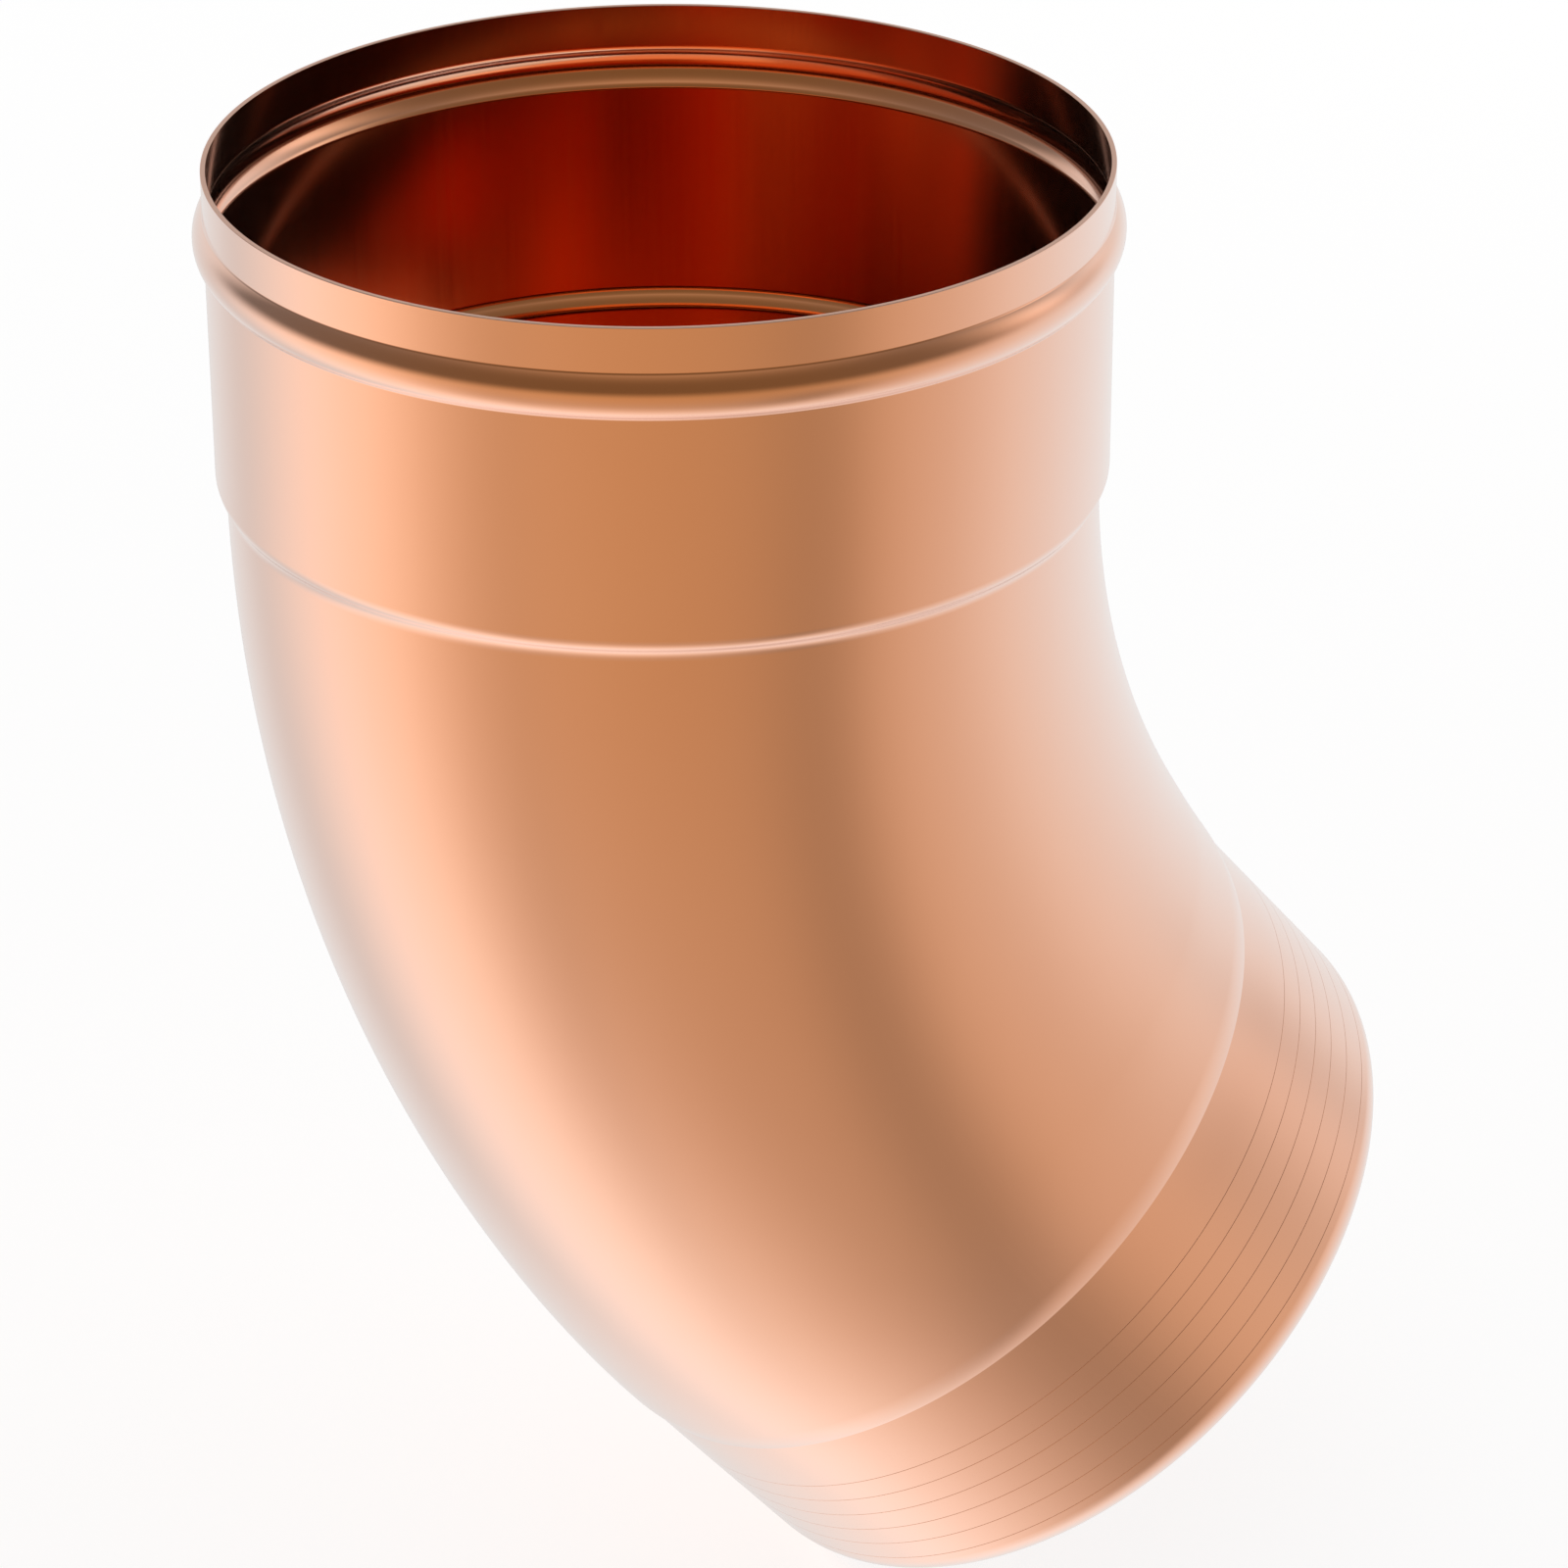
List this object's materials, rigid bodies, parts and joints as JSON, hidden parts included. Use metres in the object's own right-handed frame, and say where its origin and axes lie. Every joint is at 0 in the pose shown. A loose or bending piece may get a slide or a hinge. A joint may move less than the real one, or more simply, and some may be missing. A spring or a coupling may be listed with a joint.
{
  "type": "downspout elbow",
  "caption": "Copper rainwater pipe elbow with a beaded socket, a smooth forty degree bend and a drawn-in spigot with scored rings.",
  "frame": {"origin": "centre of the socket's mouth", "axes": "+Z along the socket's axis, up out of its mouth; the spigot leans towards +X in the XZ plane"},
  "size_m": [0.166, 0.1244, 0.2165],
  "materials": {
    "copper": "bright rolled copper sheet"
  },
  "bodies": {
    "root": {"elbow": "copper"}
  },
  "joints": []
}
